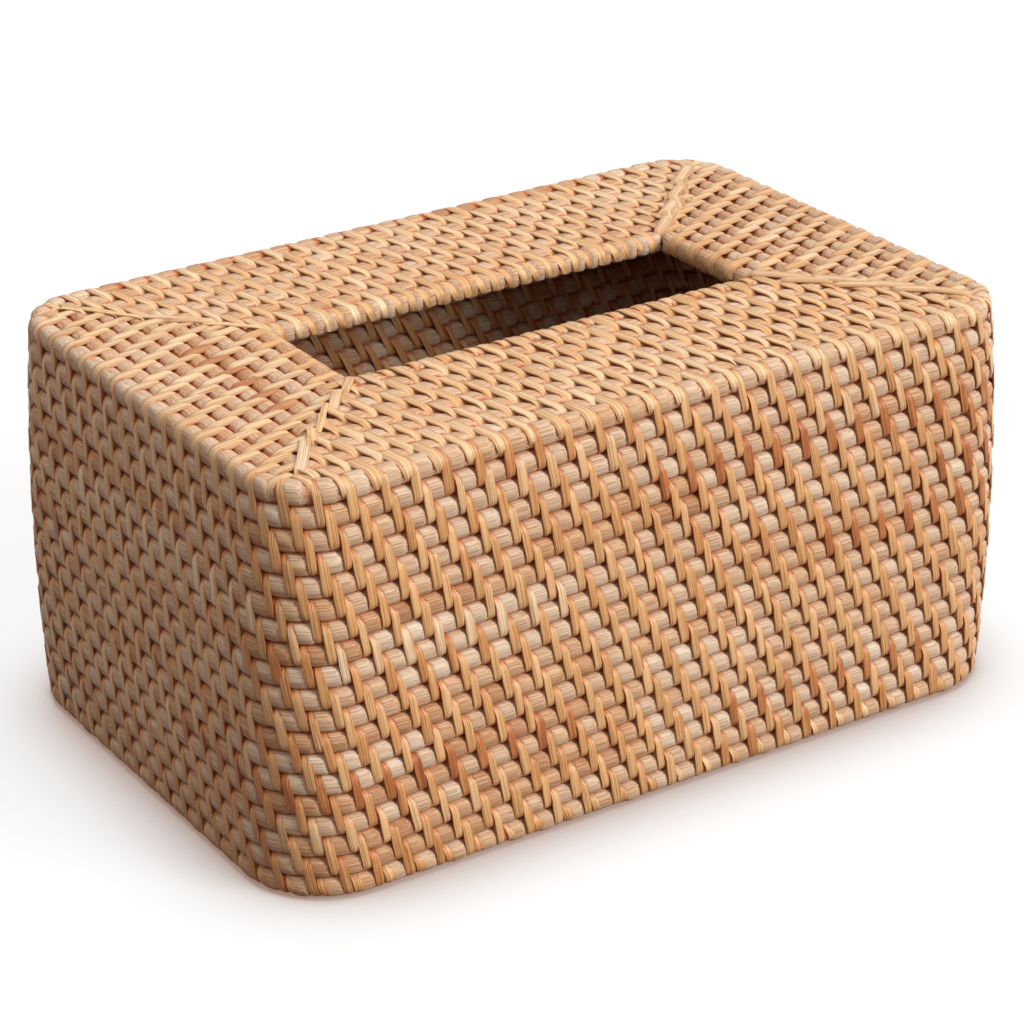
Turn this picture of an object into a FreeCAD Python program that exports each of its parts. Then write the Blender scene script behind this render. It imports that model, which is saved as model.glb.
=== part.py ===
"""Rectangular tissue box cover of coiled rattan, in millimetres, standing on z = 0.

Round rods are stacked as hoops to make the wall, which leans out a little towards its open base and swells
on the way down. The top is a frame of straight rods in nested rings, cut on the mitre, round a long slot
for the tissues. Each rod is drawn as bound, rod and binding together, with an eight-sided section, so that
neighbours seat flat on flat.
"""
import FreeCAD, Part
import math
import os

# Wall
top_length = 260.0
top_width = 170.0
base_flare = 3.0
wall_swell = 1.7
top_corner_radius = 21.5
base_corner_radius = 28.0
wall_height = 128.7
wall_rows = 19
corner_chords = 5

# Top frame: half distances between the axes of the slot's rim rods
slot_half_length = 74.4
slot_half_width = 25.0
frame_rings = 8

# Binding strip
strip_thickness = 0.8
strip_width = 3.4
rim_core_ratio = 0.79
rim_wraps_along_slot = 26
rim_wraps_across_slot = 8
lashing_length = 13.0
lashing_turn = 25.0
lashing_end_drop = 0.5

# Sizes that follow from those
rod_height = wall_height / wall_rows
rod_axis_z = wall_height - rod_height / 2
frame_half_length = top_length / 2 - rod_height
frame_half_width = top_width / 2 - rod_height
side_pitch = (frame_half_length - slot_half_length) / (frame_rings - 0.5)
front_pitch = (frame_half_width - slot_half_width) / (frame_rings - 0.5)
octagon_chamfer = (1 - math.tan(math.pi / 8)) / 2

Vector = FreeCAD.Vector


def export(shape, node):
    """Write one sub-part, after a check that its solids are sound."""
    if not shape.isValid() or shape.Volume <= 0:
        raise ValueError(f"{node} is not a sound solid")
    shape.exportStep(f"parts/{node}.step")


def rounded_outline(length, width, radius, z):
    """Rectangle at height z whose corners are bent in short chords."""
    points = []
    for quarter in range(4):
        side_x = 1 if quarter in (0, 3) else -1
        side_y = 1 if quarter in (0, 1) else -1
        for step in range(corner_chords + 1):
            angle = math.radians(90 * (quarter + step / corner_chords))
            x = side_x * (length / 2 - radius) + radius * math.cos(angle)
            y = side_y * (width / 2 - radius) + radius * math.sin(angle)
            points.append(Vector(x, y, z))
    return Part.makePolygon(points + points[:1])


def wall_hoop(row):
    """One bound hoop of the wall, counted from the top edge."""
    share = row / (wall_rows - 1)
    spread = base_flare * share + wall_swell * 4 * share * (1 - share)
    length = top_length + 2 * spread
    width = top_width + 2 * spread
    radius = top_corner_radius + (base_corner_radius - top_corner_radius) * share
    base_z = wall_height - (row + 1) * rod_height
    chamfer = octagon_chamfer * rod_height

    def side(inset_at_ends, inset_between):
        levels = (
            (0, inset_at_ends),
            (chamfer, inset_between),
            (rod_height - chamfer, inset_between),
            (rod_height, inset_at_ends),
        )
        outlines = [
            rounded_outline(length - 2 * inset, width - 2 * inset, radius - inset, base_z + rise)
            for rise, inset in levels
        ]
        return Part.makeLoft(outlines, True, True)

    return side(chamfer, 0).cut(side(rod_height - chamfer, rod_height))


def octagon(width, height):
    """Corners of an eight-sided rod section, as (outwards, upwards) from the rod's axis."""
    across = (0.5 - octagon_chamfer) * width
    up = (0.5 - octagon_chamfer) * height
    half_width = width / 2
    half_height = height / 2
    return (
        (half_width, -up),
        (half_width, up),
        (across, half_height),
        (-across, half_height),
        (-half_width, up),
        (-half_width, -up),
        (-across, -half_height),
        (across, -half_height),
    )


def frame_side(quarter):
    """Slot half length, slot half width, pitch along and pitch outwards, as seen from one side."""
    if quarter % 2 == 0:
        return slot_half_length, slot_half_width, side_pitch, front_pitch
    return slot_half_width, slot_half_length, front_pitch, side_pitch


def turned_to(shape, quarter):
    """A shape drawn at the front, turned to the front, right, back or left side (0 to 3)."""
    shape.rotate(Vector(0, 0, 0), Vector(0, 0, 1), 90 * quarter)
    return shape


def rod_section(along, axis_out, width, height):
    """Eight-sided face across a rod of the front side, at one place along it."""
    corners = [Vector(along, -axis_out - out, rod_axis_z + up) for out, up in octagon(width, height)]
    return Part.Face(Part.makePolygon(corners + corners[:1]))


def frame_wedge(quarter):
    """Space of one side of the top frame: between its two mitres and inside the edge hoop."""
    slot_half, slot_out, pitch_along, pitch_out = frame_side(quarter)
    base_z = wall_height - 2 * rod_height
    rise = Vector(0, 0, 3 * rod_height)
    corners = [
        Vector(direction * (slot_half + steps * pitch_along), -slot_out - steps * pitch_out, base_z)
        for steps, direction in ((-1, -1), (-1, 1), (frame_rings, 1), (frame_rings, -1))
    ]
    between_mitres = Part.Face(Part.makePolygon(corners + corners[:1])).extrude(rise)
    corner_radius = top_corner_radius - rod_height
    outline = rounded_outline(2 * frame_half_length, 2 * frame_half_width, corner_radius, base_z)
    inside_edge_hoop = Part.Face(outline).extrude(rise)
    return turned_to(between_mitres, quarter).common(inside_edge_hoop)


def mitred_rod(quarter, steps_out, wedge, section_ratio=1.0):
    """Straight rod of the top frame, cut at both ends to fit its side's wedge."""
    slot_half, slot_out, pitch_along, pitch_out = frame_side(quarter)
    half_length = slot_half + (steps_out + 1) * pitch_along
    axis_out = slot_out + steps_out * pitch_out
    section = rod_section(-half_length, axis_out, section_ratio * pitch_out, section_ratio * rod_height)
    bar = section.extrude(Vector(2 * half_length, 0, 0))
    return turned_to(bar, quarter).common(wedge).Solids[0]


def rim_wraps(quarter):
    """Separate wraps of strip, side by side on one rod of the slot's rim."""
    slot_half, slot_out, pitch_along, pitch_out = frame_side(quarter)
    count = rim_wraps_along_slot if quarter % 2 == 0 else rim_wraps_across_slot
    clear_half = slot_half - pitch_along / 2
    spacing = 2 * clear_half / count
    wraps = []
    for number in range(count):
        start = -clear_half + (number + 0.5) * spacing - strip_width / 2
        outside = rod_section(start, slot_out, pitch_out, rod_height)
        core = rod_section(start, slot_out, rim_core_ratio * pitch_out, rim_core_ratio * rod_height)
        wrap = outside.cut(core).Faces[0].extrude(Vector(strip_width, 0, 0))
        wraps.append(turned_to(wrap, quarter))
    return wraps


def lashing(side_x, side_y):
    """Chain of short flat straps that ties the rods together along one mitre of the top."""
    half_length = lashing_length / 2
    profile = Part.makePolygon(
        [
            Vector(-half_length, -strip_width / 2, 0),
            Vector(half_length, -strip_width / 2, 0),
            Vector(half_length - lashing_end_drop, -strip_width / 2, strip_thickness),
            Vector(lashing_end_drop - half_length, -strip_width / 2, strip_thickness),
            Vector(-half_length, -strip_width / 2, 0),
        ]
    )
    strap = Part.Face(profile).extrude(Vector(0, strip_width, 0))
    mitre = math.degrees(math.atan2(side_y * front_pitch, side_x * side_pitch))
    straps = []
    for steps_out in range(frame_rings - 1):
        middle = steps_out + 0.5
        x = side_x * (slot_half_length + middle * side_pitch)
        y = side_y * (slot_half_width + middle * front_pitch)
        turned = strap.copy()
        turned.rotate(Vector(0, 0, 0), Vector(0, 0, 1), mitre + lashing_turn)
        turned.translate(Vector(x, y, wall_height))
        straps.append(turned)
    return Part.makeCompound(straps)


os.makedirs("parts", exist_ok=True)

# Wall: the edge hoop closes the top, the base hoop is what the cover stands on
for row in range(wall_rows):
    if row == 0:
        name = "edge_hoop"
    elif row == wall_rows - 1:
        name = "base_hoop"
    else:
        name = f"wall_hoop_{row + 1:02d}"
    export(wall_hoop(row), name)

# Top frame: rods from the edge hoop inwards, and the thinner rim rods under their wraps
binding = []
for quarter, side_name in enumerate(("front", "right", "back", "left")):
    wedge = frame_wedge(quarter)
    for number in range(1, frame_rings):
        export(mitred_rod(quarter, frame_rings - number, wedge), f"top_rod_{side_name}_{number}")
    export(mitred_rod(quarter, 0, wedge, rim_core_ratio), f"slot_rim_{side_name}")
    binding += rim_wraps(quarter)
export(Part.makeCompound(binding), "slot_rim_binding")

# Lashings along the four mitres
for front_name, side_y in (("front", -1), ("back", 1)):
    for side_name, side_x in (("left", -1), ("right", 1)):
        export(lashing(side_x, side_y), f"mitre_lashing_{front_name}_{side_name}")
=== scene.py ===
import math

import bpy
import numpy as np
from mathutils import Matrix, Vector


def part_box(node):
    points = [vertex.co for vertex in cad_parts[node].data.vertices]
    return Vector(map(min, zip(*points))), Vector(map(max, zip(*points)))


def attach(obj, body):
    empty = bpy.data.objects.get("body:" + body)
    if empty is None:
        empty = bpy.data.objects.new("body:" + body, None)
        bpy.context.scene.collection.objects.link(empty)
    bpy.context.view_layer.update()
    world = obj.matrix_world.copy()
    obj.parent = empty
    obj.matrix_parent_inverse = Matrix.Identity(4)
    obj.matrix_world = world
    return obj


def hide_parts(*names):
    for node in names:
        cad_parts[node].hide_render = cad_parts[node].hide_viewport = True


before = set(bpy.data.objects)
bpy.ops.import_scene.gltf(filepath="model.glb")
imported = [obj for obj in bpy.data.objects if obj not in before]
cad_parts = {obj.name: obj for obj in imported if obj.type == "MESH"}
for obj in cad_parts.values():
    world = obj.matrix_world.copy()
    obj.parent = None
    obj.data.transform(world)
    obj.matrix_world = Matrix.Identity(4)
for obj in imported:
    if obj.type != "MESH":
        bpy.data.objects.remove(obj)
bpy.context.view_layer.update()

# Wall hoops
# Nineteen rods of peeled rattan, bent round four corners and stacked to make the wall, which swells a
# little on the way down. Under the bindings the pith is pinched, and between them it stands out in pillows.
hoop_names = ["edge_hoop"] + [f"wall_hoop_{number:02d}" for number in range(2, 19)] + ["base_hoop"]
last_row = len(hoop_names) - 1
pinched_radius = 0.0028
rod_swell = 0.0005
strip_thickness = 0.0008
strip_width = 0.0027
strip_room = 1.25
binding_reach = pinched_radius + strip_room * strip_thickness
edge_corner_radius = 0.0215
base_corner_radius = 0.028
wraps_round_wall = 82
row_shift = 0.378
first_wrap = 0.75
strap_slope = 0.21
rod_sides = 12
merge_distance = 2e-6

hoop_corners = [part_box(name)[1] for name in hoop_names]
base_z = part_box("base_hoop")[0].z
top_axis = (hoop_corners[0].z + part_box("edge_hoop")[0].z) / 2
row_height = (top_axis - base_z - binding_reach) / last_row
chance = np.random.RandomState(11)


def hoop_size(row):
    """Half length, half width and corner radius of a hoop's axis, also between two rows."""
    rows = range(last_row + 1)
    half_length = np.interp(row, rows, [corner.x for corner in hoop_corners]) - binding_reach
    half_width = np.interp(row, rows, [corner.y for corner in hoop_corners]) - binding_reach
    bend = np.interp(row, (0, last_row), (edge_corner_radius, base_corner_radius)) - binding_reach
    return half_length, half_width, bend


def hoop_length(row):
    """Length of a bound hoop, measured along its outside."""
    half_length, half_width, corner = hoop_size(row)
    return 4 * (half_length + half_width - 2 * corner) + 2 * math.pi * (corner + binding_reach)


def round_the_wall(share, out, row):
    """Places at a share of the way round a hoop, counted from the middle of the right wall."""
    half_length, half_width, corner = hoop_size(row)
    in_half = share % 0.5
    gone = np.minimum(in_half, 0.5 - in_half) * hoop_length(row)
    straight = half_width - corner
    bend = corner + binding_reach
    angle = np.clip((gone - straight) / bend, 0, math.pi / 2)
    past = np.maximum(gone - straight - bend * math.pi / 2, 0)
    x = half_length - corner + (corner + out) * np.cos(angle) - past
    y = np.minimum(gone, straight) + (corner + out) * np.sin(angle)
    x = np.where(in_half > 0.25, -x, x)
    side = np.where(share % 1 >= 0.5, -1, 1)
    return side * x, side * y


def places_of(piece):
    """Vertex places of a piece as rows of x, y, z."""
    places = np.empty(len(piece.data.vertices) * 3, np.float32)
    piece.data.vertices.foreach_get("co", places)
    return places.reshape(-1, 3).astype(float)


def move_to(piece, x, y, z):
    """Puts every vertex of a piece in a new place."""
    places = np.stack([x, y, z], axis=1).astype(np.float32)
    piece.data.vertices.foreach_set("co", places.ravel())
    piece.data.update()


def note(piece, name, values):
    """Writes one value or vector for each vertex, which the finish reads."""
    values = np.asarray(values, np.float32)
    if values.ndim == 1:
        layer = piece.data.attributes.new(name, "FLOAT", "POINT")
        layer.data.foreach_set("value", values)
    else:
        layer = piece.data.attributes.new(name, "FLOAT_VECTOR", "POINT")
        layer.data.foreach_set("vector", values.ravel())


def pick(piece):
    """Leaves one piece selected and active."""
    bpy.ops.object.select_all(action="DESELECT")
    piece.select_set(True)
    bpy.context.view_layer.objects.active = piece


def in_a_row(step, name, count, spacing):
    """Copies of one modelled step, side by side along x, as a new piece."""
    piece = step.copy()
    piece.data = step.data.copy()
    piece.name = name
    bpy.context.scene.collection.objects.link(piece)
    pick(piece)
    row = piece.modifiers.new("row", "ARRAY")
    row.count = count
    row.use_relative_offset = False
    row.use_constant_offset = True
    row.constant_offset_displace = (spacing, 0, 0)
    bpy.ops.object.modifier_apply(modifier="row")
    return piece


def close_up(piece, smooth_below):
    """Merges doubled vertices, closes open ends, turns the faces outwards and shades the piece smooth."""
    pick(piece)
    bpy.ops.object.mode_set(mode="EDIT")
    bpy.ops.mesh.select_all(action="SELECT")
    bpy.ops.mesh.remove_doubles(threshold=merge_distance)
    bpy.ops.mesh.fill_holes(sides=0)
    bpy.ops.mesh.normals_make_consistent(inside=False)
    bpy.ops.object.mode_set(mode="OBJECT")
    bpy.ops.object.shade_smooth_by_angle(angle=math.radians(smooth_below))


class Field:
    """A value or colour that changes over a surface. Sums on values add Math nodes to the finish."""

    def __init__(self, tree, socket=None):
        self.tree = tree
        self.socket = socket

    def node(self, kind, settings, inputs, output=0):
        made = self.tree.nodes.new(kind)
        for name, value in settings.items():
            if name == "stops":
                stops = made.color_ramp.elements
                while len(stops) < len(value):
                    stops.new(1.0)
                for stop, (place, colour) in zip(stops, value):
                    stop.position = place
                    stop.color = colour
            else:
                setattr(made, name, value)
        for name, value in inputs.items():
            if isinstance(value, Field):
                self.tree.links.new(value.socket, made.inputs[name])
            else:
                made.inputs[name].default_value = value
        return Field(self.tree, made.outputs[output])

    def sum(self, operation, first, second):
        return self.node("ShaderNodeMath", {"operation": operation}, {0: first, 1: second})

    def __add__(self, other):
        return self.sum("ADD", self, other)

    def __radd__(self, other):
        return self.sum("ADD", other, self)

    def __sub__(self, other):
        return self.sum("SUBTRACT", self, other)

    def __rsub__(self, other):
        return self.sum("SUBTRACT", other, self)

    def __mul__(self, other):
        return self.sum("MULTIPLY", self, other)

    def __rmul__(self, other):
        return self.sum("MULTIPLY", other, self)

    def eased(self, low, high):
        """0 below low, 1 above high, smooth between."""
        settings = {"interpolation_type": "SMOOTHSTEP"}
        return self.node("ShaderNodeMapRange", settings, {"Value": self, "From Min": low, "From Max": high})

    def mixed(self, first, second, blend="MIX"):
        """Colour that goes from first to second as this value goes from 0 to 1."""
        settings = {"data_type": "RGBA", "blend_type": blend}
        return self.node("ShaderNodeMix", settings, {0: self, 6: first, 7: second}, output=2)

    def stretched(self, scale, detail):
        """Cloudy pattern, stretched by a scale for each axis of this vector."""
        vector = self.node("ShaderNodeVectorMath", {"operation": "MULTIPLY"}, {0: self, 1: scale})
        inputs = {"Vector": vector, "Scale": 1.0, "Detail": detail, "Roughness": 0.55}
        return self.node("ShaderNodeTexNoise", {}, inputs)


def tint(red, green, blue):
    """Colour from screen values of 0 to 255."""
    levels = [value / 255 for value in (red, green, blue)]
    return [v / 12.92 if v <= 0.04045 else ((v + 0.055) / 1.055) ** 2.4 for v in levels] + [1.0]


def new_finish(name):
    """A finish, its sheet of nodes, and the three things noted at each vertex: grain, tone and depth, the
    amount of painted shade.
    """
    finish = bpy.data.materials.new(name)
    finish.use_nodes = True
    sheet = Field(finish.node_tree)
    along = sheet.node("ShaderNodeAttribute", {"attribute_name": "straight"}, {}, output="Vector")
    tone = sheet.node("ShaderNodeAttribute", {"attribute_name": "tone"}, {}, output="Fac")
    depth = sheet.node("ShaderNodeAttribute", {"attribute_name": "depth"}, {}, output="Fac")
    return finish, sheet, along, tone, depth


def lay_on(finish, gloss, colour, rough, bump):
    """Gives a finish its gloss, colour, roughness and relief."""
    shader = finish.node_tree.nodes["Principled BSDF"]
    shader.inputs["Specular IOR Level"].default_value = gloss
    for name, field in (("Base Color", colour), ("Roughness", rough), ("Normal", bump)):
        finish.node_tree.links.new(field.socket, shader.inputs[name])


def pith_finish():
    """Peeled rattan: warm tan and matt, with fine brown lines and red-brown painted shade in the gaps."""
    finish, sheet, along, tone, depth = new_finish("rattan_pith")
    lines = along.stretched((16, 4000, 4000), 1.0)
    threads = along.stretched((60, 8000, 8000), 1.0)
    patches = along.stretched((70, 220, 220), 2.0)
    stops = [
        (0.0, tint(170, 117, 79)),
        (0.3, tint(205, 161, 120)),
        (0.55, tint(209, 179, 149)),
        (0.8, tint(221, 198, 171)),
        (1.0, tint(235, 222, 202)),
    ]
    shade = tone + (patches - 0.5) * 0.4 + (threads - 0.5) * 0.4
    colour = sheet.node("ShaderNodeValToRGB", {"stops": stops}, {"Fac": shade})
    dark_lines = lines.eased(0.5, 0.64)
    pale_lines = 1 - lines.eased(0.32, 0.46)
    colour = (pale_lines * 0.25).mixed(colour, tint(234, 215, 190))
    colour = (dark_lines * (0.85 - tone * 0.5)).mixed(colour, tint(164, 106, 66))
    # Painted shade: red-brown darkening in the gaps and where the straps cross, warmed like light thrown
    # back between the rods
    gap_shade = depth.eased(0.3, 0.9)
    colour = (gap_shade * (0.8 + dark_lines * 0.2)).mixed(colour, tint(178, 74, 18))
    height = threads * 0.4 - dark_lines * 0.7
    bump = sheet.node("ShaderNodeBump", {}, {"Height": height, "Strength": 0.6, "Distance": 0.00016})
    lay_on(finish, 0.25, colour, 0.52 + dark_lines * 0.2, bump)
    return finish


rattan_pith = pith_finish()

# One step of a rod, from one strap to the next: where its rings lie, how far it stands out there, how deep
# the notch beside it is and how much painted shade darkens it
step_places = (0.0, 0.12, 0.18, 0.25, 0.38, 0.52, 0.6, 0.68, 1.0)
step_swell = (0.0, 0.0, 0.85, 1.0, 1.0, 0.95, 0.7, 0.0, 0.0)
step_notch = (0.75, 0.4, 0.0, 0.0, 0.0, 0.1, 0.45, 1.0, 0.75)
step_shade = (0.9, 0.85, 0.45, 0.14, 0.02, 0.0, 0.06, 0.45, 0.9)
shade_run = 0.25
wall_notch = 0.27
foot_notch_share = 0.28
rod_squareness = 0.63
rod_smoothing = 60
least_full = -0.08
most_full = 0.04
rod_tone_spread = 0.12
stock_length = 40.0

# Tones of the lengths of rattan in a hoop, and where the painted shade begins on its upper and lower side
hoop_shades = [0.22, 0.4, 0.46, 0.5, 0.52, 0.55, 0.58, 0.62, 0.66, 0.7]
hoop_run = 6
hoop_top_edge = 0.8
hoop_low_edge = 0.85
no_edge = 2.0


def one_rod_step():
    """One step of a rod along x, of unit length and radius, with a ring of corners at each place."""
    bpy.ops.object.select_all(action="DESELECT")
    bpy.ops.mesh.primitive_circle_add(vertices=rod_sides, radius=1.0, rotation=(0, math.pi / 2, 0))
    bpy.ops.object.transform_apply()
    step = bpy.context.object
    bpy.ops.object.mode_set(mode="EDIT")
    for before, after in zip(step_places, step_places[1:]):
        bpy.ops.mesh.extrude_region_move(TRANSFORM_OT_translate={"value": (after - before, 0, 0)})
    bpy.ops.object.mode_set(mode="OBJECT")
    return step


rod_step = one_rod_step()


def laid_rod(name, count, pitch, spacing, notch, open_side=0):
    """A straight rod of many steps, pinched where the straps cross it and slanted as they are.

    It touches the rods beside it all the way, below the notches where a strap goes in beside a pillow.
    An open side, 1 above or -1 below, has no rod to touch.
    """
    rod = in_a_row(rod_step, name, count, 1.0)
    x, y, z = places_of(rod).T
    number = np.clip(np.floor(x + 1e-4), 0, count - 1).astype(int)
    bare = np.interp(x - number, step_places, step_swell)
    fuller = chance.uniform(least_full, most_full, count)[number] * bare
    radius = (pinched_radius + rod_swell * bare) * (1 + fuller)
    notches = notch * np.interp(x - number, step_places, step_notch) * np.clip(2 * y, 0, 1)
    flank = (1 - notches * np.where(z > 0, 1.0, foot_notch_share)) * spacing / 2
    flank = np.where(np.sign(z) == open_side, radius, flank)
    out = radius * np.sign(y) * np.abs(y) ** rod_squareness
    up = flank * np.sign(z) * np.abs(z) ** rod_squareness
    move_to(rod, x * pitch - strap_slope * up, out, up)
    return rod, number, np.interp(x - number, step_places, step_shade)


def rod_notes(piece, tones, gap_shade, top_edge, low_edge):
    """Grain, tone and painted shade of a straight rod, before it is bent or put in place."""
    x, y, z = places_of(piece).T
    offset = chance.uniform(0, stock_length)
    note(piece, "straight", np.stack([x + offset, y, z], axis=1))
    note(piece, "tone", tones)
    # Painted shade along the upper and lower side, where the rod meets its neighbours, and at the ends of
    # the pillows
    side = z / z.max()
    high = np.clip((side - top_edge) / shade_run, 0, 1)
    low = np.clip((-side - low_edge) / shade_run, 0, 1)
    note(piece, "depth", np.maximum(np.maximum(high, low), gap_shade))


def rod_tones(count, shades, run):
    """Tone of each step: a rod is pieced together from lengths of different rattan."""
    lengths = count // run + 1
    tones = np.repeat(chance.choice(shades, lengths), run)[:count]
    return tones + chance.uniform(-rod_tone_spread, rod_tone_spread, count)


for row, hoop_name in enumerate(hoop_names):
    pitch = hoop_length(row) / wraps_round_wall
    open_side = -1 if row == last_row else 0
    name = hoop_name + "_rod"
    hoop, step, gap_shade = laid_rod(name, wraps_round_wall, pitch, row_height, wall_notch, open_side)
    x, y, z = places_of(hoop).T
    top_edge = no_edge if row == 0 else hoop_top_edge
    low_edge = no_edge if row == last_row else hoop_low_edge
    tones = rod_tones(wraps_round_wall, hoop_shades, hoop_run)
    rod_notes(hoop, tones[step], gap_shade, top_edge, low_edge)
    share = (x / pitch + first_wrap + row_shift * row) / wraps_round_wall
    east, north = round_the_wall(share, y, row)
    move_to(hoop, east, north, top_axis - row * row_height + z)
    close_up(hoop, rod_smoothing)
    hoop.data.materials.append(rattan_pith)
    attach(hoop, "root")
    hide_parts(hoop_name)

# Top rods
# Straight rods of the same rattan, seven on each side of the top, laid in nested rings inside the edge
# hoop and cut on the mitre. The innermost rod of each side is the rim of the slot.
side_names = ("front", "right", "back", "left")
front_middle = 0.75
side_middles = (front_middle, 1.0, 0.25, 0.5)
ring_count = 8
outer_ring = ring_count - 1
mitre_gap = 0.0004
past_mitre = 0.006
top_notch = 0.55
rim_step_shift = 0.12
corner_clearance = 0.0014
top_shades = [0.28, 0.34, 0.38, 0.42, 0.48]
# How strongly painted shade darkens the top rods, and where it begins on their sides
top_run = 5
top_painted_shade = 0.85
top_shade_edge = 0.7


def side_axis(name, side):
    """How far out from the middle of the top a rod's axis lies."""
    low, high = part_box(name)
    middle = (low + high) / 2
    return abs(middle.y) if side % 2 == 0 else abs(middle.x)


rim_out = [side_axis(f"slot_rim_{name}", side) for side, name in enumerate(side_names)]
outer_out = [side_axis(f"top_rod_{name}_1", side) for side, name in enumerate(side_names)]


def rod_out(side, ring):
    """Distance from the middle to the axis of a top rod, counted out from the slot's rim."""
    if ring == ring_count:
        half_length, half_width = hoop_size(0)[:2]
        return half_width if side % 2 == 0 else half_length
    return rim_out[side] + (outer_out[side] - rim_out[side]) * ring / outer_ring


def onto_side(side, along, up, inward, out):
    """Places on one side of the top, from distances along it, above the rods and in from a rod's axis."""
    depth = out - inward
    height = top_axis + up
    if side == 0:
        return along, -depth, height
    if side == 1:
        return depth, along, height
    if side == 2:
        return -along, depth, height
    return -depth, -along, height


edge_pitch = hoop_length(0) / wraps_round_wall


def first_step_before(side, ring, start):
    """Place along a side of the last wrap before start."""
    turn = first_wrap - row_shift * (ring_count - ring)
    number = math.floor(start / edge_pitch + side_middles[side] * wraps_round_wall - turn)
    return ((number + turn) / wraps_round_wall - side_middles[side]) * hoop_length(0)


def cut_off(piece, place, direction):
    """Saws a piece through at a place and throws away what lies in a direction from it."""
    pick(piece)
    bpy.ops.object.mode_set(mode="EDIT")
    bpy.ops.mesh.select_all(action="SELECT")
    bpy.ops.mesh.bisect(plane_co=place, plane_no=direction, use_fill=True, clear_outer=True)
    bpy.ops.object.mode_set(mode="OBJECT")


for side, side_name in enumerate(side_names):
    across = (side + 1) % 4
    for ring in range(ring_count):
        node = f"slot_rim_{side_name}" if ring == 0 else f"top_rod_{side_name}_{ring_count - ring}"
        half = rod_out(across, ring) + past_mitre
        start = first_step_before(side, ring, -half)
        step_pitch = edge_pitch
        if ring == 0 and side % 2 == 0:
            start += rim_step_shift * edge_pitch
            step_pitch = edge_pitch / 2
        count = math.ceil((half - start) / step_pitch)
        spacing = rod_out(side, 1) - rod_out(side, 0)
        open_side = 1 if ring == 0 else 0
        rod, step, gap_shade = laid_rod(node + "_rod", count, step_pitch, spacing, top_notch, open_side)
        x, y, z = places_of(rod).T
        top_edge = no_edge if ring == 0 else top_shade_edge
        tones = rod_tones(count, top_shades, top_run)
        rod_notes(rod, tones[step], gap_shade * top_painted_shade, top_edge, top_shade_edge)
        move_to(rod, *onto_side(side, start + x, y, z, rod_out(side, ring)))
        for end in (-1, 1):
            corner = np.array(onto_side(side, end * rod_out(across, 0), 0, 0, rod_out(side, 0)))
            outer_half = rod_out(across, outer_ring)
            outer = np.array(onto_side(side, end * outer_half, 0, 0, rod_out(side, outer_ring)))
            ahead = np.array(onto_side(side, end, 0, 0, 0)) - np.array(onto_side(side, 0, 0, 0, 0))
            mitre = (outer - corner) / np.linalg.norm(outer - corner)
            square = ahead - mitre * (ahead @ mitre)
            square = square / np.linalg.norm(square)
            cut_off(rod, corner - square * mitre_gap, square)
            if ring == outer_ring:
                stop = end * (outer_half - corner_clearance)
                cut_off(rod, onto_side(side, stop, 0, 0, rod_out(side, outer_ring)), ahead + mitre)
        close_up(rod, rod_smoothing)
        rod.data.materials.append(rattan_pith)
        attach(rod, "root")
        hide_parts(node)

# Wall bindings
# Flat strips of glossy rattan peel, one for each pair of neighbouring hoops. A strip goes over two rods,
# in under the lower one, slants up behind both and comes out again one step further round the wall.
strip_ride = pinched_radius + strip_thickness / 2
strip_dip = 0.0001
outer_lean = 0.28
section_corners = 6
strip_smoothing = 45
strip_neck = 0.86
strip_belly = 0.18
palest_peel = 0.86
shortest_peel = 7
longest_peel = 15
millimetre = 0.001

# How much one turn of a strip differs from the next
width_spread = 0.18
shift_spread = 0.0004
lean_spread = 0.0007
roll_spread = 0.12
tone_spread = 0.06


def strip_section():
    """Cross-section of a strip, flat on top of a rod that lies along x."""
    bpy.ops.object.select_all(action="DESELECT")
    bpy.ops.mesh.primitive_circle_add(
        vertices=section_corners, radius=0.5, location=(0, 0, strip_ride), rotation=(math.pi / 2, 0, 0)
    )
    section = bpy.context.object
    section.scale = (strip_width / math.cos(math.pi / section_corners), strip_thickness, 1)
    bpy.ops.object.transform_apply()
    bpy.ops.object.mode_set(mode="EDIT")
    bpy.ops.mesh.select_all(action="SELECT")
    return section


def go_round(rod_z, quarter_steps):
    """Leads the strip on round a rod by a quarter turn for each number of steps."""
    for steps in quarter_steps:
        bpy.ops.mesh.spin(steps=steps, angle=math.pi / 2, center=(0, 0, rod_z), axis=(1, 0, 0))


def go_on(out, up):
    """Leads the strip straight on."""
    bpy.ops.mesh.extrude_region_move(TRANSFORM_OT_translate={"value": (0, out, up)})


def one_pair_turn(spacing):
    """One turn of strip round two rods: over both, under the lower one and up behind."""
    turn = strip_section()
    go_round(0, [3])
    go_on(-strip_dip, -spacing / 2)
    go_on(strip_dip, -spacing / 2)
    go_round(-spacing, [3, 2])
    go_on(0, spacing)
    go_round(0, [2])
    bpy.ops.object.mode_set(mode="OBJECT")
    return turn


def ring_lengths(turn):
    """Length of strip from the start of a turn to each of its rings."""
    rings = places_of(turn).reshape(-1, section_corners, 3).mean(axis=1)
    return np.concatenate([[0], np.cumsum(np.linalg.norm(np.diff(rings, axis=0), axis=1))])


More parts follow.
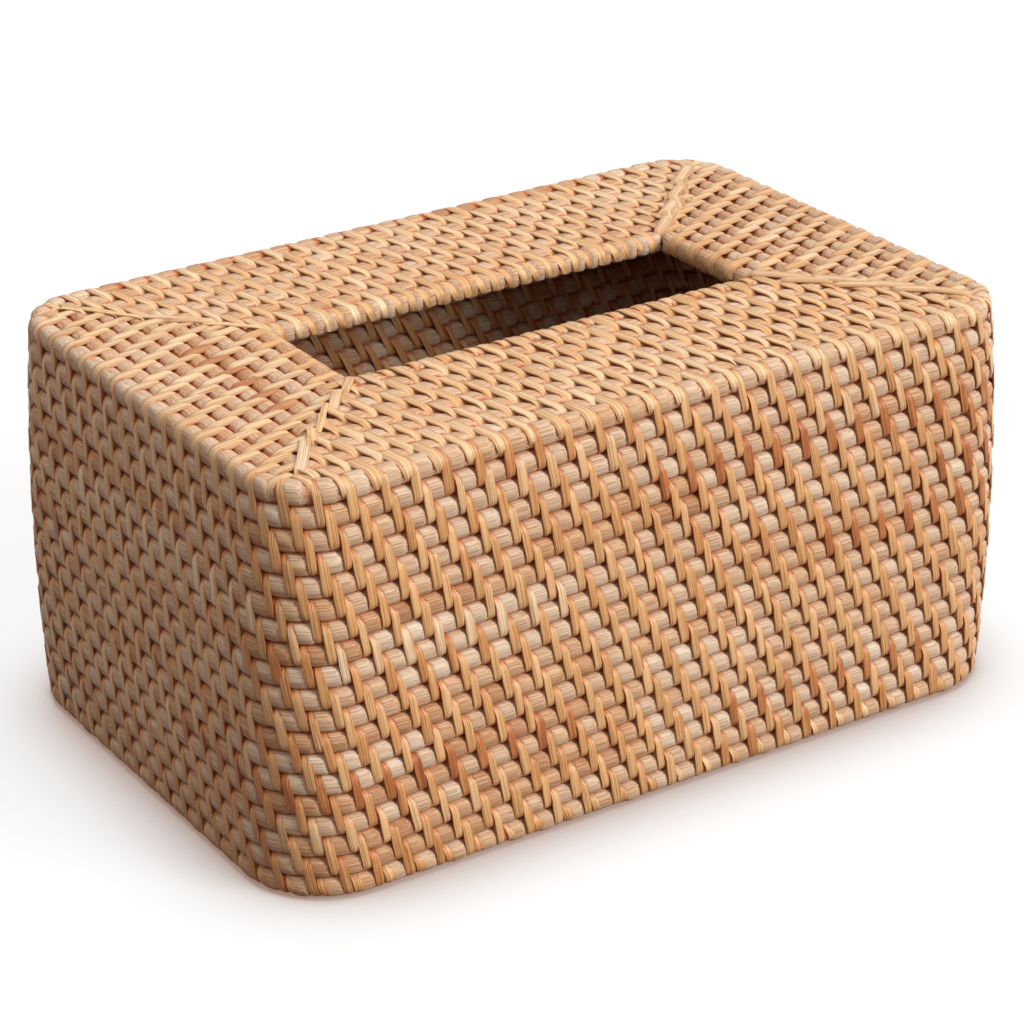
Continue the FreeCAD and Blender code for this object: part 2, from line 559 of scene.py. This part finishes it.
def peel_finish():
    """Rattan peel: tan, a little glossy, with grooves between its fibres and painted shade on its edges and
    ends.
    """
    finish, sheet, along, tone, depth = new_finish("rattan_peel")
    fibres = along.stretched((22, 1900, 300), 1.0)
    threads = along.stretched((50, 4200, 600), 1.0)
    stains = along.stretched((90, 280, 100), 2.0)
    stops = [
        (0.0, tint(132, 66, 30)),
        (0.2, tint(178, 106, 54)),
        (0.4, tint(209, 153, 97)),
        (0.55, tint(220, 173, 118)),
        (0.7, tint(225, 184, 136)),
        (0.85, tint(233, 201, 160)),
        (1.0, tint(243, 221, 188)),
    ]
    shade = tone + (threads - 0.5) * 0.4 + (stains - 0.5) * 0.4
    colour = sheet.node("ShaderNodeValToRGB", {"stops": stops}, {"Fac": shade})
    grooves = fibres.eased(0.5, 0.63)
    colour = (grooves * 0.8).mixed(colour, (0.76, 0.64, 0.5, 1), "MULTIPLY")
    side = along.node("ShaderNodeSeparateXYZ", {}, {0: along}, output="Y")
    # Painted shade: darker brown towards the rounded edges of the strip
    edge_shade = sheet.sum("ABSOLUTE", side, 0.0).eased(0.00085, 0.0014)
    colour = (edge_shade * 0.5).mixed(colour, tint(166, 102, 54))
    # Painted shade and painted warm bounce light, with some of the peel's own stain: orange-brown where the
    # strip goes into the gaps
    colour = (depth * 0.8).mixed(colour, tint(192, 94, 28))
    height = threads * 0.4 - grooves
    bump = sheet.node("ShaderNodeBump", {}, {"Height": height, "Strength": 0.7, "Distance": 0.00022})
    lay_on(finish, 0.45, colour, 0.36 + threads * 0.2, bump)
    return finish


rattan_peel = peel_finish()


def peel_tones(count, paler=0.0):
    """Tone of each turn: a strip is pieced together from lengths of different peel."""
    kinds = (0.18, 0.36, 0.46, 0.52, 0.57, 0.62, 0.68, 0.84)
    shares = (0.04, 0.1, 0.18, 0.2, 0.2, 0.15, 0.09, 0.04)
    tones = []
    while len(tones) < count:
        tone = chance.choice(kinds, p=shares)
        tones += [tone] * chance.randint(shortest_peel, longest_peel + 1)
    tones = np.array(tones[:count]) + chance.uniform(-tone_spread, tone_spread, count) + paler
    return np.minimum(tones, palest_peel)


def wound_row(turn, name, tones, face_rings, lean_share, closed, gap_shading, breadth=1.0, starts=None):
    """Turns of one strip, side by side, each a little different.

    The first face_rings of a turn show, and the rest slants behind to where the next turn starts.
    """
    count = len(tones)
    piece = in_a_row(turn, name, count, 0.0)
    gone = ring_lengths(turn)
    rings = len(gone)
    behind = (gone - gone[face_rings]) / (gone[-1] - gone[face_rings])
    starts = np.arange(count) if starts is None else starts
    to_next = np.append(np.diff(starts), 1.0)[:, None]
    on_face = (lean_share * gone / gone[face_rings])[None, :]
    advance = np.where(behind < 0, on_face, lean_share + (to_next - lean_share) * behind[None, :])
    places = places_of(piece).reshape(count, rings, section_corners, 3)
    into_next = np.clip(behind, 0, 1)[None, :]

    def vary(values):
        after = np.roll(values, -1)
        if not closed:
            after[-1] = values[-1]
        return (values[:, None] * (1 - into_next) + after[:, None] * into_next)[:, :, None]

    down_face = np.clip(gone / gone[face_rings], 0, 1)
    drawn_in = (strip_neck + strip_belly * np.sin(down_face * math.pi))[None, :, None]
    width = breadth * drawn_in * vary(chance.uniform(1 - width_spread, 1 + width_spread, count))
    shift = vary(chance.uniform(-shift_spread, shift_spread, count))
    lean = vary(chance.uniform(-lean_spread, lean_spread, count))
    lean = lean * (down_face - 0.5 - into_next[0])[None, :, None]
    roll = vary(chance.uniform(-roll_spread, roll_spread, count))
    across = places[..., 0] * width
    lift = 1 + (roll * across) / strip_ride
    turns = (starts[:, None] + advance)[:, :, None]
    length = np.arange(count)[:, None, None] * gone[-1] + gone[None, :, None]
    length = length + chance.uniform(0, stock_length)
    straight = np.stack(np.broadcast_arrays(length, across, lift * millimetre), axis=3)
    note(piece, "straight", straight.reshape(-1, 3))
    note(piece, "tone", np.broadcast_to(vary(tones), across.shape).ravel())
    note(piece, "depth", np.broadcast_to(np.array(gap_shading)[None, :, None], across.shape).ravel())
    return piece, turns, across + shift + lean, places[..., 1] * lift, places[..., 2]


pair_turn = one_pair_turn(row_height)
pair_face_rings = 8
# How much painted shade darkens each ring of a turn, most where the strip goes into the gaps between the
# rods
pair_gap_shading = [1, 0.7, 0.25, 0, 0.05, 0, 0.15, 0.6, 1, 0.4, 0, 0, 0.4, 1]

# Lengths of odd peel: row, start and end in metres from the middle of the front, and tone
odd_lengths = [
    (0, -0.4475, -0.2935, 0.14),
    (2, -0.125, -0.03, 0.42),
    (3, -0.005, 0.1, 0.2),
    (7, -0.115, -0.033, 0.86),
    (8, -0.06, 0.05, 0.5),
    (15, 0.013, 0.095, 0.26),
]
for row in range(last_row):
    name = f"wall_binding_{row + 1:02d}"
    gap_shading = list(pair_gap_shading)
    if row == 0:
        gap_shading[:3] = [0.2, 0.1, 0]
    if row == last_row - 1:
        gap_shading[5:10] = [0, 0, 0, 0, 0]
    tones = peel_tones(wraps_round_wall)
    middles = np.arange(wraps_round_wall) + first_wrap + row_shift * row + outer_lean / 2
    along_front = (middles / wraps_round_wall % 1 - front_middle) * hoop_length(row)
    for odd_row, start, stop, tone in odd_lengths:
        if odd_row == row:
            tones[(along_front > start) & (along_front < stop)] = tone
    strip, turns, across, out, up = wound_row(
        pair_turn, name, tones, pair_face_rings, outer_lean, True, gap_shading
    )
    pitch = hoop_length(row) / wraps_round_wall
    share = (turns + first_wrap + row_shift * row + across / pitch) / wraps_round_wall
    east, north = round_the_wall(share, out, row - up / row_height)
    height = np.broadcast_to(top_axis - row * row_height + up, share.shape)
    move_to(strip, east.ravel(), north.ravel(), height.ravel())
    close_up(strip, strip_smoothing)
    strip.data.materials.append(rattan_peel)
    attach(strip, "root")

# Top bindings
# The same strips on the top, one for each pair of neighbouring rods on each side, with one more turn where
# a mitre would be left bare. The outermost goes over the last top rod and the edge hoop, and in under it.
mitre_margin = 0.001
largest_gap = 0.5
strap_clearance = 0.05
top_breadth = 1.25
edge_breadth = 1.5
top_paler = 0.2
rim_paler = 0.04
darkest_top = 0.52
palest_top = 0.79
# Strength of the painted shade on the top bindings
top_gap_shading = 0.7

# Lengths of odd peel: side, ring, start and end in metres from the middle of the side, and tone
odd_top_lengths = [("left", 3, -0.024, 0.035, 0.24)]


def join_as(name, parts):
    """Joins parts of one piece."""
    pick(parts[0])
    for part in parts:
        part.select_set(True)
    bpy.ops.object.join()
    parts[0].name = name
    return parts[0]


def along_edge(side, gone):
    """Place along a side, and distance out from the middle, after a length round the edge hoop."""
    x, y = round_the_wall(side_middles[side] + gone / hoop_length(0), 0.0, 0)
    return ((x, -y), (y, x), (-x, y), (-y, -x))[side]


for side, side_name in enumerate(side_names):
    across_side = (side + 1) % 4
    parts = []
    for ring in range(ring_count):
        half = rod_out(across_side, ring + 0.5) - mitre_margin
        if ring == outer_ring:
            half_sizes = hoop_size(0)
            bend = half_sizes[2]
            half = half_sizes[side % 2] - bend + (bend + binding_reach) * math.pi / 4 - mitre_margin
        start = first_step_before(side, ring, -half) + edge_pitch
        count = math.floor((half - outer_lean * edge_pitch - start) / edge_pitch) + 1
        gap_shading = [top_gap_shading * value for value in pair_gap_shading]
        breadth = top_breadth
        if ring == 0:
            gap_shading[:3] = [0, 0, 0]
            gap_shading[12:] = [0, 0]
        if ring == outer_ring:
            gap_shading[5:10] = [0, 0, 0, 0, 0.3]
            breadth = edge_breadth
        starts = np.arange(count, dtype=float)
        near_gap = (start + half) / edge_pitch
        far_gap = (half - start) / edge_pitch - outer_lean - (count - 1)
        if ring < outer_ring and near_gap > largest_gap:
            starts = np.insert(starts, 0, strap_clearance - near_gap)
        if ring < outer_ring and far_gap > largest_gap:
            starts = np.append(starts, count - 1 - strap_clearance + far_gap)
        tones = peel_tones(len(starts), top_paler if ring > 0 else rim_paler)
        tones = np.clip(tones, darkest_top, palest_top)
        middles = start + (starts + outer_lean / 2) * edge_pitch
        for odd_side, odd_ring, odd_start, odd_stop, tone in odd_top_lengths:
            if (odd_side, odd_ring) == (side_name, ring):
                tones[(middles > odd_start) & (middles < odd_stop)] = tone
        strip, turns, across, up, inward = wound_row(
            pair_turn, "binding", tones, pair_face_rings, outer_lean, False, gap_shading, breadth, starts
        )
        along = start + turns * edge_pitch + across
        outer = rod_out(side, ring + 1)
        if ring == outer_ring:
            along, outer = along_edge(side, along)
        spacing = outer - rod_out(side, ring)
        wider = inward + np.clip(-inward / row_height, 0, 1) * (row_height - spacing)
        up = np.broadcast_to(up, along.shape)
        wider = np.broadcast_to(wider, along.shape)
        places = onto_side(side, along.ravel(), up.ravel(), wider.ravel(), rod_out(side, ring))
        move_to(strip, *places)
        parts.append(strip)
    bindings = join_as(f"top_bindings_{side_name}", parts)
    close_up(bindings, strip_smoothing)
    bindings.data.materials.append(rattan_peel)
    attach(bindings, "root")

# Rim wraps
# Single wraps of the same strip on the two rods that have a neighbour on one side only: the rim of the
# slot and the base hoop. They lie between the turns of the pair bindings.
rim_lean = 0.35
rim_offsets = (0.51, 0.77, 0.51, 0.77)
rim_margin = 0.002
rim_breadth = 1.0
rim_tone = 0.52
rim_tone_spread = 0.08
base_lean = 0.25
single_face_rings = 6


def one_single_turn():
    """One turn of strip round a single rod."""
    turn = strip_section()
    go_round(0, [3, 3, 2, 2])
    bpy.ops.object.mode_set(mode="OBJECT")
    return turn


single_turn = one_single_turn()
# Painted shade on each ring of a single turn, most under the rod
single_gap_shading = [0] * 5 + [0.4, 0.8, 0.4, 0, 0, 0]
rim_parts = []
for side in range(4):
    half = rod_out((side + 1) % 4, 0) - rim_margin
    rim_offset = rim_offsets[side]
    start = first_step_before(side, 0, -half - rim_offset * edge_pitch) + (1 + rim_offset) * edge_pitch
    count = math.floor((half - start) / edge_pitch) + 1
    tones = rim_tone + chance.uniform(-rim_tone_spread, rim_tone_spread, count)
    strip, turns, across, up, inward = wound_row(
        single_turn, "rim_wraps", tones, single_face_rings, rim_lean, False, single_gap_shading, rim_breadth
    )
    along = start + turns * edge_pitch + across
    up = np.broadcast_to(up, along.shape)
    inward = np.broadcast_to(inward, along.shape)
    move_to(strip, *onto_side(side, along.ravel(), up.ravel(), inward.ravel(), rod_out(side, 0)))
    rim_parts.append(strip)
slot_rim_binding = join_as("slot_rim_wraps", rim_parts)
close_up(slot_rim_binding, strip_smoothing)
slot_rim_binding.data.materials.append(rattan_peel)
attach(slot_rim_binding, "root")
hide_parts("slot_rim_binding")

tones = peel_tones(wraps_round_wall)
base_wraps, turns, across, out, up = wound_row(
    single_turn, "base_rim_wraps", tones, single_face_rings, base_lean, True, single_gap_shading
)
pitch = hoop_length(last_row) / wraps_round_wall
share = (turns + first_wrap + row_shift * last_row + across / pitch) / wraps_round_wall
east, north = round_the_wall(share, out, last_row)
height = np.broadcast_to(top_axis - last_row * row_height + up, share.shape)
move_to(base_wraps, east.ravel(), north.ravel(), height.ravel())
close_up(base_wraps, strip_smoothing)
base_wraps.data.materials.append(rattan_peel)
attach(base_wraps, "root")

# Mitre lashings
# Short straps of peel that tie the cut rod ends together along the four mitres of the top. Each comes up
# between two rods, runs over the next ones and goes in again under the strap after it.
stitch_rings = 10
stitch_dive = 0.0024
stitch_slope = 0.0026
stitch_rise = 0.0002
stitch_bow = 0.0006
stitch_shade = 0.8
lashing_lift = 0.0001
lashing_height = hoop_corners[0].z + lashing_lift

# Ring and millimetres aside of the mitre at both ends of each strap, then its width and tone
stitches = {
    "front_left": [
        (-0.5, 0.9, 0.9, 1.8, 2.6, 0.66),
        (0.5, -0.3, 2.2, 1.5, 3.2, 0.74),
        (1.55, -1.5, 3.4, 1.1, 1.8, 0.6),
        (2.3, -1.7, 3.9, 0.5, 1.9, 0.7),
        (3.4, -2.3, 4.6, 0.9, 2.6, 0.62),
        (4.1, -1.4, 5.2, 0.3, 1.6, 0.45),
        (4.25, -2.2, 6.6, 1.4, 3.4, 0.88),
    ],
    "back_left": [
        (-0.3, 0.5, 2.0, 1.6, 1.8, 0.66),
        (1.3, -1.8, 4.4, 0.6, 2.2, 0.78),
        (1.2, 0.0, 3.1, 1.8, 1.4, 0.7),
        (3.6, 1.0, 5.6, -0.4, 1.8, 0.72),
        (4.5, 0.3, 6.2, -1.7, 2.6, 0.66),
        (5.6, 0.6, 6.8, -0.6, 2.2, 0.8),
    ],
    "back_right": [
        (-0.4, 1.0, 1.9, -0.8, 4.2, 0.72),
        (0.6, -1.8, 2.4, 1.6, 3.6, 0.66),
        (1.3, 2.2, 3.5, -1.2, 4.2, 0.76),
        (2.2, -2.6, 3.9, 1.6, 3.8, 0.68),
        (2.9, 1.8, 4.9, -1.4, 4.2, 0.74),
        (3.8, -2.6, 5.4, 1.4, 3.8, 0.68),
        (4.4, 1.6, 6.7, -1.2, 4.4, 0.78),
    ],
    "front_right": [
        (-0.5, 1.2, 1.9, 1.9, 4.4, 0.74),
        (0.6, -2.2, 2.6, 0.9, 4.8, 0.66),
        (1.5, 2.0, 3.4, 2.6, 4.6, 0.78),
        (2.3, -2.4, 4.2, 1.4, 4.8, 0.7),
        (3.3, 1.4, 5.2, 2.2, 4.6, 0.76),
        (4.2, -2.0, 5.8, 0.6, 4.6, 0.72),
        (4.9, 0.8, 7.0, -1.2, 4.4, 0.68),
    ],
}


def one_stitch():
    """Flat length of strip along y, one unit long."""
    stitch = strip_section()
    for ring in range(stitch_rings):
        go_on(1 / stitch_rings, 0)
    bpy.ops.object.mode_set(mode="OBJECT")
    return stitch


flat_stitch = one_stitch()
for corner_name, straps in stitches.items():
    depth_name, width_name = corner_name.split("_")
    side_y = -1 if depth_name == "front" else 1
    side_x = -1 if width_name == "left" else 1
    pitch_x = rod_out(1, 1) - rod_out(1, 0)
    pitch_y = rod_out(0, 1) - rod_out(0, 0)
    outward = np.array([side_x * pitch_x, side_y * pitch_y])
    aside = np.array([-outward[1], outward[0]]) / np.linalg.norm(outward)
    slot_corner = np.array([side_x * rod_out(1, 0), side_y * rod_out(0, 0)])
    parts = []
    for first_ring, first_aside, last_ring, last_aside, width, tone in straps:
        strap = in_a_row(flat_stitch, "strap", 1, 0.0)
        x, y, z = places_of(strap).T
        begin = slot_corner + first_ring * outward + first_aside * millimetre * aside
        run = slot_corner + last_ring * outward + last_aside * millimetre * aside - begin
        length = np.linalg.norm(run)
        flank = np.array([-run[1], run[0]]) / length
        across = x * width * millimetre / strip_width
        bow = chance.uniform(-stitch_bow, stitch_bow) * np.sin(y * math.pi)
        place = begin + y[:, None] * run + (across + bow)[:, None] * flank
        dive = np.clip(1 - np.minimum(y, 1 - y) * length / stitch_slope, 0, 1) ** 2
        rise = stitch_rise * np.sin(y * math.pi) - dive * stitch_dive
        grain = y * length + chance.uniform(0, stock_length)
        note(strap, "straight", np.stack([grain, across, z], axis=1))
        note(strap, "tone", np.full(len(x), tone))
        # Painted shade where the strap dives in under its neighbours
        note(strap, "depth", dive * stitch_shade)
        move_to(strap, place[:, 0], place[:, 1], lashing_height + z - strip_ride + rise)
        parts.append(strap)
    lashing = join_as(f"mitre_straps_{corner_name}", parts)
    close_up(lashing, strip_smoothing)
    lashing.data.materials.append(rattan_peel)
    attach(lashing, "root")
    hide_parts(f"mitre_lashing_{corner_name}")

# Floor and light
# Plain white floor under soft daylight from above, in front and the right. The left wall is in half
# shade. Only what the lens sees of the floor is white, so that it throws little light back up, and the
# part under the cover is plain paper in the dark.
floor_size = 8.0
under_begins = 0.012
under_full = 0.03
contact_reach = 0.04
contact_shade = 3.2
glow_share = 0.8
bpy.ops.object.select_all(action="DESELECT")
bpy.ops.mesh.primitive_plane_add(size=floor_size)
floor = bpy.context.object
floor.name = "floor"


def seen_by_lens(sheet):
    """1 for rays from the lens, straight, off a gloss or through glass, and 0 for all other light."""
    kinds = ("Is Camera Ray", "Is Glossy Ray", "Is Transmission Ray")
    straight, gloss, through = [sheet.node("ShaderNodeLightPath", {}, {}, output=kind) for kind in kinds]
    return sheet.sum("MINIMUM", straight + gloss + through, 1.0)


def floor_finish():
    """White paper with a soft shadow, as the lens sees it."""
    finish = bpy.data.materials.new("white_paper")
    finish.use_nodes = True
    tree = finish.node_tree
    tree.nodes.remove(tree.nodes["Principled BSDF"])
    sheet = Field(tree)
    paper = sheet.node("ShaderNodeBsdfDiffuse", {}, {"Color": (1, 1, 1, 1)})
    # The glow is darkened close to the cover by its ambient occlusion: a painted contact shadow, warmed by
    # painted light thrown back from the rattan
    reach = {"Distance": contact_reach}
    open_sky = sheet.node("ShaderNodeAmbientOcclusion", {"samples": 16}, reach, output="AO")
    hidden_sky = 1 - open_sky
    glow_colour = (hidden_sky * hidden_sky * contact_shade).mixed((1, 1, 1, 1), (0.38, 0.24, 0.18, 1))
    glow = sheet.node("ShaderNodeEmission", {}, {"Color": glow_colour, "Strength": 1.0})
    place = sheet.node("ShaderNodeTexCoord", {}, {}, output="Object")
    away_x = sheet.sum("ABSOLUTE", sheet.node("ShaderNodeSeparateXYZ", {}, {0: place}, output="X"), 0.0)
    away_y = sheet.sum("ABSOLUTE", sheet.node("ShaderNodeSeparateXYZ", {}, {0: place}, output="Y"), 0.0)
    foot = hoop_corners[last_row]
    under = 1 - away_x.eased(foot.x - under_full, foot.x - under_begins)
    under = under * (1 - away_y.eased(foot.y - under_full, foot.y - under_begins))
    glowing = glow_share - under * glow_share
    white = sheet.node("ShaderNodeMixShader", {}, {0: glowing, 1: paper, 2: glow})
    bounce_colour = under.mixed((0.12, 0.058, 0.03, 1), (0.7, 0.7, 0.72, 1))
    bounce = sheet.node("ShaderNodeBsdfDiffuse", {}, {"Color": bounce_colour})
    surface = sheet.node("ShaderNodeMixShader", {}, {0: seen_by_lens(sheet), 1: bounce, 2: white})
    tree.links.new(surface.socket, tree.nodes["Material Output"].inputs["Surface"])
    return finish


floor.data.materials.append(floor_finish())

# Strength, degrees from straight above, degrees round from the front, and breadth in degrees
key_light = (2.52, 61.3, 31.0, 26)
overhead_light = (2.53, 14.0, 31.0, 125)
for energy, from_above, from_front, width in (key_light, overhead_light):
    bpy.ops.object.light_add(type="SUN", rotation=(math.radians(from_above), 0, math.radians(from_front)))
    lamp = bpy.context.object.data
    lamp.energy = energy
    lamp.angle = math.radians(width)

room_strength = 0.05
world = bpy.data.worlds.new("studio")
bpy.context.scene.world = world
world.use_nodes = True
seen = seen_by_lens(Field(world.node_tree))
strength = room_strength + seen * (1 - room_strength)
world.node_tree.links.new(strength.socket, world.node_tree.nodes["Background"].inputs["Strength"])
room_colour = seen.mixed((1, 0.62, 0.46, 1), (1, 1, 1, 1))
world.node_tree.links.new(room_colour.socket, world.node_tree.nodes["Background"].inputs["Color"])
bpy.context.scene.view_settings.view_transform = "Standard"

# Camera
# Looks down on the front left corner from about a metre away, through a long lens.
camera_azimuth = math.radians(-33.034)
camera_elevation = math.radians(25.208)
camera_roll = math.radians(-0.459)
camera_distance = 0.995558
camera_shift = (0.000742, 0.006551)
aim_height = 0.065
focal_pixels = 3183.541
picture_pixels = 1024
sensor = 36.0

back = np.array(
    [
        math.sin(camera_azimuth) * math.cos(camera_elevation),
        -math.cos(camera_azimuth) * math.cos(camera_elevation),
        math.sin(camera_elevation),
    ]
)
level = np.array([math.cos(camera_azimuth), math.sin(camera_azimuth), 0.0])
upright = np.cross(back, level)
right = math.cos(camera_roll) * level + math.sin(camera_roll) * upright
upward = math.cos(camera_roll) * upright - math.sin(camera_roll) * level
aim = np.array([0, 0, aim_height]) - right * camera_shift[0] - upward * camera_shift[1]
bpy.ops.object.camera_add()
camera = bpy.context.object
turned = np.eye(4)
turned[:3, 0] = right
turned[:3, 1] = upward
turned[:3, 2] = back
turned[:3, 3] = aim + back * camera_distance
camera.matrix_world = [list(line) for line in turned.T]
camera.data.sensor_width = sensor
camera.data.lens = focal_pixels / picture_pixels * sensor
bpy.context.scene.camera = camera

for model in (rod_step, pair_turn, single_turn, flat_stitch):
    bpy.data.objects.remove(model)
